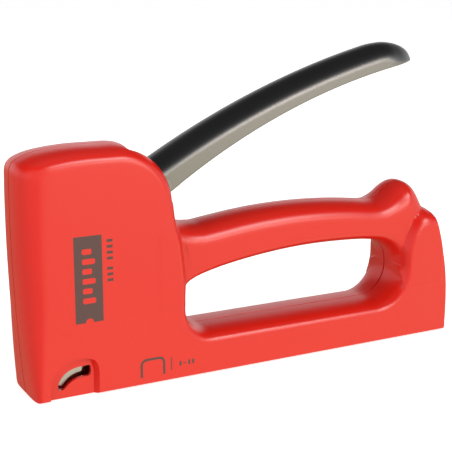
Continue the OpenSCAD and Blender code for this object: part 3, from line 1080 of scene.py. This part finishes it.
@dataclass
class SqueezeLever:
    """Pressed steel lever: a deep channel that arches back over the grip to a rounded end.

    Attributes:
        half_width: Half width over the cheeks.
        thickness: Thickness of the sheet.
        corner_drop: Height over which the back rolls over into a cheek.
        start: Front end of the channel along X.
        end: Tip of the lever along X.
        nose_start: Where the plan starts to close towards the tip.
        spoon_start: Where the cheeks start to open out into the tip.
        back_centre: Centre of the arch of the back, as x, z.
        back_radius: Radius of that arch.
        rim_centre: Centre of the arch of the cheeks' lower edge.
        rim_radius: Radius of that arch.
        cap_centre: Centre of the ellipse that closes the back at the tip.
        cap_size: Half length and half height of that ellipse.
        cap_blend: Height over which the arch runs into it.
        ear_radius: Radius of the cheeks round the pivot pin.
        pin_radius: Radius of the hole for the pivot pin.
        rivet_radius: Radius of the holes for the fork's rivets.
        stations: Sections along the straight part.
    """

    half_width: float = 9.0
    thickness: float = 1.3
    corner_drop: float = 6.6
    start: float = 43.0
    end: float = 160.4
    nose_start: float = 147.0
    spoon_start: float = 144.0
    back_centre: Point = (223.3, -223.8)
    back_radius: float = 351.5
    rim_centre: Point = (200.3, -150.1)
    rim_radius: float = 265.0
    cap_centre: Point = (146.5, 112.3)
    cap_size: Point = (13.9, 6.4)
    cap_blend: float = 1.2
    ear_radius: float = 9.0
    pin_radius: float = 3.15
    rivet_radius: float = 1.6
    stations: int = 150

    def top(self, x: np.ndarray) -> np.ndarray:
        """Height of the lever's back above the sole: a long arch that a short cap closes.

        Args:
            x: Places along the tool.

        Returns:
            One height for each.
        """
        arch = self.back_centre[1] + np.sqrt(self.back_radius ** 2 - (x - self.back_centre[0]) ** 2)
        share = np.clip((x - self.cap_centre[0]) / self.cap_size[0], 0, 1)
        cap = self.cap_centre[1] + self.cap_size[1] * np.sqrt(1 - share ** 2)
        near = np.clip(self.cap_blend - np.abs(arch - cap), 0, None)
        return np.minimum(arch, cap) - near ** 2 / (4 * self.cap_blend)

    def rim(self, x: np.ndarray) -> np.ndarray:
        """Height of the lower edge of the lever's cheeks."""
        return self.rim_centre[1] + np.sqrt(self.rim_radius ** 2 - (x - self.rim_centre[0]) ** 2)

    def width(self, x: np.ndarray) -> np.ndarray:
        """Half width in plan, round at the end."""
        share = np.clip((x - self.nose_start) / (self.end - self.nose_start), 0, 1)
        return self.half_width * np.sqrt(np.clip(1 - share ** 2.1, 0, 1))

    def section(self, half: float, top: float, rim: float, spoon: float) -> np.ndarray:
        """Half of a section from the crown to the lower edge, as y, z.

        Args:
            half: Half width here.
            top: Height of the crown.
            rim: Height of the lower edge.
            spoon: Share by which the corners open out into the round end.

        Returns:
            Rows of y, z, always as many.
        """
        deep = top - rim
        drop = min(self.corner_drop, 0.8 * deep) * (1 - spoon) + 0.96 * deep * spoon
        angle = np.linspace(0, 1, 18) * math.pi / 2 * (1 - 0.5 * spoon)
        bend = np.c_[half * np.sin(angle) / math.sin(angle[-1]),
                     top - drop * (1 - np.cos(angle)) / (1 - math.cos(angle[-1]))]
        cheek = np.linspace(top - drop, rim, 8)[1:]
        return np.vstack([bend, np.c_[np.full(7, half), cheek]])

    def channel(self) -> bpy.types.Object:
        """Builds the arched channel with its closed round end.

        Returns:
            The channel, as thick as the sheet.
        """
        straight = np.linspace(self.start, self.nose_start, self.stations)[:-1]
        nose = self.nose_start + (self.end - self.nose_start) * np.sin(np.linspace(0, math.pi / 2, 30))
        at = np.r_[straight, nose]
        rings = []
        spoon = np.clip((at - self.spoon_start) / (self.end - 2 - self.spoon_start), 0, 1)
        spoon = spoon * spoon * (3 - 2 * spoon)
        for x, w, t, r, share in zip(at, self.width(at), self.top(at), self.rim(at), spoon):
            half = self.section(max(w, 0.02), t, r, share)
            ring = np.vstack([half[::-1] * (-1, 1), half[1:]])
            rings.append(np.c_[np.full(len(ring), x), ring])
        verts = np.array(rings)
        rows, cols = verts.shape[:2]
        number = np.arange(rows * cols).reshape(rows, cols)
        faces = np.stack([number[:-1, :-1], number[:-1, 1:], number[1:, 1:], number[1:, :-1]], axis=-1)
        obj = mesh_piece("lever_channel", verts.reshape(-1, 3), faces.reshape(-1, 4).tolist())
        clean(obj, 0.06)
        apply_modifier(obj, "SOLIDIFY", thickness=self.thickness * MM, offset=-1.0, use_even_offset=True)
        return obj

    def ears(self) -> bpy.types.Object:
        """Builds the two cheeks that reach forward round the pivot pin.

        Returns:
            The cheeks, joined.
        """
        line = np.vstack([arc(PIVOT, self.ear_radius, 72, 300, 40),
                          [(45.5, 64.6), (50, 68.6), (50, 75.6), (43.4, 71.9)]])
        inner = self.half_width - self.thickness
        return join("ears", [prism("ear", [(line, s * inner), (line, s * self.half_width)])
                             for s in (-1, 1)])

    def build(self) -> bpy.types.Object:
        """Builds the lever with its holes and its finish.

        Returns:
            The finished lever.
        """
        lever = self.channel()
        boolean(lever, self.ears(), Cut.ADD)
        holes = [rod_piece("pin_hole", (PIVOT[0], 0, PIVOT[1]), self.pin_radius, 30),
                 rod_piece("rivet_hole", (RIVET[0], 0, RIVET[1]), self.rivet_radius, 30)]
        boolean(lever, join("holes", holes))
        clean(lever, 0.001)
        lever.name = "squeeze_lever"
        apply_modifier(lever, "BEVEL", width=0.35 * MM, segments=2, limit_method="ANGLE",
                       angle_limit=math.radians(50))
        dress(lever, BLACK_LACQUER.material())
        smooth_by_angle(lever, 40)
        mounted(lever, "lever", "black_lacquer", "lever")
        return lever


# ---------------------------------------------------------------- works inside


@dataclass(frozen=True)
class Coil:
    """A wire spring wound as a helix.

    Attributes:
        node: CAD node that it replaces.
        body: Body that it rides on.
        centre: Start of the axis in millimetres.
        axis: X or Z.
        diameter: Outer diameter.
        wire: Wire diameter.
        length: Length over the end turns.
        turns: Number of turns.
        joint: Joint that presses the spring; not used.
        travel: Length by which that joint shortens it; not used.
        held: End that stays in place: 0 for the start of the axis, 1 for the other end; not used.
    """

    node: str
    body: str
    centre: Tuple[float, float, float]
    axis: str
    diameter: float
    wire: float
    length: float
    turns: int
    joint: str
    travel: float
    held: float

    def build(self) -> None:
        """Winds the wire and closes its ends."""
        deselect()
        mean = (self.diameter - self.wire) / 2
        bpy.ops.mesh.primitive_circle_add(vertices=12, radius=self.wire / 2 * MM,
                                          location=(mean * MM, 0, self.wire / 2 * MM),
                                          rotation=(math.pi / 2, 0, 0))
        coil = bpy.context.object
        coil.name = self.node + "_coil"
        settle(coil)
        pitch = (self.length - self.wire) / self.turns
        apply_modifier(coil, "SCREW", axis="Z", screw_offset=pitch * MM, iterations=self.turns,
                       steps=36, render_steps=36, use_merge_vertices=False)
        bpy.ops.object.mode_set(mode="EDIT")
        bpy.ops.mesh.select_all(action="DESELECT")
        bpy.ops.mesh.select_non_manifold()
        bpy.ops.mesh.fill_holes(sides=0)
        bpy.ops.object.mode_set(mode="OBJECT")
        coil.rotation_euler = (0, math.pi / 2, 0) if self.axis == "X" else (0, 0, 0)
        coil.location = Vector(self.centre) * MM
        settle(coil)
        clean(coil, 0.001)
        dress(coil, SPRING_WIRE.material())
        smooth_by_angle(coil, 50)
        mounted(coil, self.body, "spring_steel", self.node)
        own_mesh(coil)


COILS = (Coil("main_spring", "body", (10.6, 0, 21.4), "Z", 10.4, 1.7, 57.0, 12,
              "plunger_lift", 11.5, 1),
         Coil("pusher_spring", "drawer", (62.4, 0, 5), "X", 5.4, 0.8, 104.0, 30,
              "pusher_slide", 45.1, 1),
         Coil("button_spring", "drawer", (171.6, 0, 3), "Z", 3.0, 0.5, 5.0, 5,
              "release_press", 1.7, 0))


# ---------------------------------------------------------------- printed marks


@dataclass
class PrintedMarks:
    """Plain grey marks printed on the left side: a block, a row of dashes and a staple sign."""

    form: HousingForm = field(default_factory=HousingForm)

    def skin(self, low: Point, high: Point, lift: float = 0.03) -> bpy.types.Object:
        """A thin sheet that lies on the side of the housing between two corners.

        Args:
            low: Lower front corner, as x, z.
            high: Upper rear corner.
            lift: Thickness that stands proud of the housing.

        Returns:
            The closed sheet.
        """
        xs = np.linspace(low[0], high[0], max(2, round((high[0] - low[0]) / 0.7)))
        zs = np.linspace(low[1], high[1], max(2, round((high[1] - low[1]) / 0.7)))
        gx, gz = np.meshgrid(xs, zs)
        flat = np.c_[gx.ravel(), gz.ravel()]
        depth = self.form.depth(flat)
        number = np.arange(len(flat)).reshape(gx.shape)
        quads = np.stack([number[:-1, :-1], number[:-1, 1:], number[1:, 1:], number[1:, :-1]], axis=-1)
        faces = quads.reshape(-1, 4)
        edge = np.r_[number[0, :-1], number[:-1, -1], number[-1, :0:-1], number[:0:-1, 0]]
        after = np.roll(edge, -1)
        walls = np.stack([edge, edge + len(flat), after + len(flat), after], axis=-1)
        verts = np.vstack([np.c_[flat[:, 0], -depth - lift, flat[:, 1]],
                           np.c_[flat[:, 0], -depth + 0.05, flat[:, 1]]])
        sheet = mesh_piece("sheet", verts, np.vstack([faces, faces[:, ::-1] + len(flat), walls]).tolist())
        clean(sheet, 0.001)
        return sheet

    def slab(self, low: Point, high: Point, radius: float) -> bpy.types.Object:
        """A tool through the side wall: a rectangle in the side view with rounded corners.

        Args:
            low: Lower front corner.
            high: Upper rear corner.
            radius: Corner radius.

        Returns:
            The slab.
        """
        corners = ((high[0], high[1], 0), (low[0], high[1], 90),
                   (low[0], low[1], 180), (high[0], low[1], 270))
        line = []
        for x, z, turn in corners:
            cx = x - math.copysign(radius, x - (low[0] + high[0]) / 2)
            cz = z - math.copysign(radius, z - (low[1] + high[1]) / 2)
            line.append(arc((cx, cz), radius, turn, turn + 90, 7))
        outline = np.vstack(line)
        return prism("slab", [(outline, -15.0), (outline, -12.0)])

    def build(self) -> None:
        """Prints the marks."""
        block = self.skin((12.7, 27.1), (23.0, 58.0))
        bars = []
        for step in range(6):
            z, wide = 34.0 + 3.5 * step, 3.6 if step % 2 else 4.8
            bars.append(self.slab((15.6, z), (15.6 + wide, z + 2.0), 0.6))
        boolean(block, join("bars", bars + [self.slab((16.4, 24.5), (19.4, 28.6), 1.45)]))
        dashes = [self.skin((24.8, z), (27.0, z + 1.0)) for z in (41, 43.1, 45.2, 48.8, 50.9, 53, 55.1)]
        staple = self.skin((36.7, 3.1), (46.5, 10.1))
        boolean(staple, self.slab((36.72, 0.5), (46.48, 10.08), 2.4), Cut.KEEP)
        boolean(staple, self.slab((37.6, 0.0), (45.6, 9.2), 1.6))
        size = [self.skin((48.8, 4.0), (49.2, 9.2)), self.skin((52.2, 5.2), (53.0, 7.0)),
                self.skin((53.8, 5.9), (55.0, 6.3)), self.skin((55.8, 5.2), (56.6, 7.0)),
                self.skin((57.4, 5.2), (58.2, 7.0))]
        marks = join("printed_marks", [block] + dashes + [staple] + size)
        dress(marks, GREY_INK.material())
        smooth_by_angle(marks, 30)
        mounted(marks, "body", "black_lacquer")


# ---------------------------------------------------------------- carried-over parts


@dataclass(frozen=True)
class CarriedParts:
    """Finishes for the parts that keep their CAD meshes."""

    finishes: Tuple[Tuple[str, Finish], ...] = (
        ("shell_screws", ZINC), ("nose_plate", NICKEL), ("guide_frame", ZINC), ("magazine_channel", NICKEL),
        ("pivot_pin", ZINC), ("pivot_washers", PALE_NYLON), ("bumper", BUMPER_RUBBER),
        ("spring_seat", BLACK_NYLON), ("return_spring", SPRING_WIRE), ("lift_fork", ZINC),
        ("fork_rivets", BLACK_LACQUER), ("plunger", ZINC), ("driver_blade", NICKEL), ("blade_pin", ZINC),
        ("staples", NICKEL), ("magazine_rail", NICKEL), ("pusher_rod", NICKEL), ("pusher", BLACK_NYLON),
        ("end_cap", BLACK_NYLON), ("cap_pins", ZINC), ("latch_leaf", SPRING_WIRE),
        ("release_button", BLACK_NYLON))

    def dress_all(self, nodes: Dict[str, bpy.types.Object]) -> None:
        """Puts the finishes on the carried-over objects.

        Args:
            nodes: Objects by the name of their CAD node.
        """
        for name, finish in self.finishes:
            material = finish.material()
            for slot in nodes[name].material_slots:
                slot.material = material
            log.info("%s finished as %s", name, finish.name)


# ---------------------------------------------------------------- studio


@dataclass
class Studio:
    """Pale floor, soft light and the camera.

    Attributes:
        turn: Angle of the camera round the tool in degrees, 0 straight from the left side.
        rise: Angle of the camera above the horizon in degrees.
        lens: Focal length in millimetres.
        target: Point that the camera and the lamps look at, in millimetres.
        distance: Distance of the camera from that point.
        floor_size: Width of the floor in metres.
        floor_glow: Light that the floor gives off, which keeps it white to its far edge.
        sun_strength: Strength of the directional light.
        sun_spread: Width of that light in degrees.
    """

    turn: float = -27.965
    rise: float = 13.237
    lens: float = 88.05
    target: Tuple[float, float, float] = (78.68, 0.0, 51.99)
    distance: float = 417.8
    floor_size: float = 30.0
    floor_glow: float = 0.64
    sun_strength: float = 1.35
    sun_spread: float = 22.0

    def camera(self) -> None:
        """Sets the camera on the front left of the tool, a little above it."""
        a, e = math.radians(self.turn), math.radians(self.rise)
        back = Vector((math.sin(a) * math.cos(e), -math.cos(a) * math.cos(e), math.sin(e)))
        data = bpy.data.cameras.new("camera")
        data.lens = self.lens
        data.sensor_width = 36
        data.clip_start = 0.01
        obj = bpy.data.objects.new("camera", data)
        bpy.context.scene.collection.objects.link(obj)
        obj.location = Vector(self.target) * MM + back * self.distance * MM
        obj.rotation_euler = (-back).to_track_quat("-Z", "Y").to_euler()
        bpy.context.scene.camera = obj

    def floor(self) -> None:
        """A wide pale floor under the tool."""
        deselect()
        bpy.ops.mesh.primitive_plane_add(size=self.floor_size, location=(0, 0, -0.0002))
        obj = bpy.context.object
        obj.name = "floor"
        material = bpy.data.materials.new("pale_floor")
        material.use_nodes = True
        shader = material.node_tree.nodes["Principled BSDF"]
        shader.inputs["Base Color"].default_value = (0.75, 0.75, 0.75, 1)
        shader.inputs["Roughness"].default_value = 0.9
        shader.inputs["Specular IOR Level"].default_value = 0.1
        shader.inputs["Emission Color"].default_value = (1, 1, 1, 1)
        shader.inputs["Emission Strength"].default_value = self.floor_glow
        dress(obj, material)
        obj.visible_glossy = False

    def light(self) -> None:
        """Bright horizon, dark sky, a warm glow from below in front, and large soft lamps."""
        world = bpy.data.worlds.new("studio")
        bpy.context.scene.world = world
        world.use_nodes = True
        tree = world.node_tree
        shade = tree.nodes["Background"]
        place = tree.nodes.new("ShaderNodeTexCoord")
        split = tree.nodes.new("ShaderNodeSeparateXYZ")
        ramp = tree.nodes.new("ShaderNodeValToRGB")
        tree.links.new(place.outputs["Generated"], split.inputs["Vector"])
        height = tree.nodes.new("ShaderNodeMapRange")
        height.inputs["From Min"].default_value = -1
        tree.links.new(split.outputs["Z"], height.inputs["Value"])
        tree.links.new(height.outputs["Result"], ramp.inputs["Fac"])
        tree.links.new(ramp.outputs["Color"], shade.inputs["Color"])
        stops = ramp.color_ramp.elements
        stops[0].position, stops[0].color = 0.46, (0.95, 0.86, 0.6, 1)
        stops[1].position, stops[1].color = 0.74, (0.038, 0.038, 0.038, 1)
        for position in (0.5, 0.67):
            stops.new(position).color = (0.6, 0.6, 0.6, 1)
        back = self.ramp_down(tree, split.outputs["Y"], 0.1, 0.6)
        left = self.ramp_down(tree, split.outputs["X"], 0.2, -0.4)
        below = self.ramp_down(tree, split.outputs["Z"], 0.0, -0.1)
        lit = math_node(tree, "MAXIMUM", math_node(tree, "MINIMUM", back, left), below)
        tree.links.new(math_node(tree, "MULTIPLY", math_node(tree, "MAXIMUM", lit, 0.2), 1.6),
                       shade.inputs["Strength"])
        self.lamp("key", (0.62, -1.15, 0.31), (0.5, 0.4), 3.9, tint=(1, 0.88, 0.74))
        self.lamp("side", (-1.0, -0.5, 0.6), (0.8, 0.8), 7, seen=False)
        self.lamp("top", (0.05, 0.1, 1.1), (1.1, 1.1), 5, seen=False)
        self.sun()

    @staticmethod
    def ramp_down(tree: bpy.types.NodeTree, source: object, start: float, end: float) -> object:
        """Falls from 1 to 0 as a socket's value goes from start to end.

        Args:
            tree: Node tree that it goes into.
            source: Socket that is read.
            start: Value that gives 1.
            end: Value that gives 0.

        Returns:
            The output socket.
        """
        node = tree.nodes.new("ShaderNodeMapRange")
        node.inputs["From Min"].default_value = start
        node.inputs["From Max"].default_value = end
        node.inputs["To Min"].default_value = 1
        node.inputs["To Max"].default_value = 0
        tree.links.new(source, node.inputs["Value"])
        return node.outputs["Result"]

    def sun(self) -> None:
        """A broad directional light that keeps the whole floor even."""
        data = bpy.data.lights.new("sun", "SUN")
        data.energy = self.sun_strength
        data.angle = math.radians(self.sun_spread)
        obj = bpy.data.objects.new("sun", data)
        bpy.context.scene.collection.objects.link(obj)
        obj.rotation_euler = Vector((-0.42, 0.8, -0.62)).to_track_quat("-Z", "Y").to_euler()

    def shade_from_above(self, piece: bpy.types.Object) -> None:
        """Keeps the sun and the top lamp off one piece, as a flag would.

        Args:
            piece: The piece that is shaded.
        """
        flagged = bpy.data.collections.new("flagged")
        flagged.objects.link(piece)
        for name in ("top", "sun"):
            bpy.data.objects[name].light_linking.receiver_collection = flagged
        flagged.collection_objects[0].light_linking.link_state = "EXCLUDE"

    def lamp(self, name: str, place: Tuple[float, float, float], size: Tuple[float, float],
             power: float, seen: bool = True, tint: Colour = (1, 1, 1)) -> None:
        """Adds one flat lamp that looks at the tool.

        Args:
            name: Name of the lamp.
            place: Where it stands, in metres.
            size: Its width and height.
            power: Its power in watts.
            seen: Whether glossy surfaces mirror it.
            tint: Colour of its light.
        """
        data = bpy.data.lights.new(name, "AREA")
        data.shape = "RECTANGLE"
        data.size, data.size_y = size
        data.energy = power
        data.color = tint
        obj = bpy.data.objects.new(name, data)
        bpy.context.scene.collection.objects.link(obj)
        obj.location = place
        obj.visible_glossy = seen
        aim = Vector(self.target) * MM - Vector(place)
        obj.rotation_euler = aim.to_track_quat("-Z", "Y").to_euler()

    def build(self) -> None:
        """Sets up the studio."""
        self.camera()
        self.floor()
        self.light()
        bpy.context.scene.view_settings.view_transform = "Standard"


def main() -> None:
    """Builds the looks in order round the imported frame."""
    logging.basicConfig(level=logging.INFO, format="%(message)s")
    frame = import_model()
    studio = Studio()
    studio.build()
    CarriedParts().dress_all(frame["nodes"])
    Housing().build()
    PrintedMarks().build()
    studio.shade_from_above(SqueezeLever().build())
    for coil in COILS:
        coil.build()


if __name__ == "__main__":
    main()
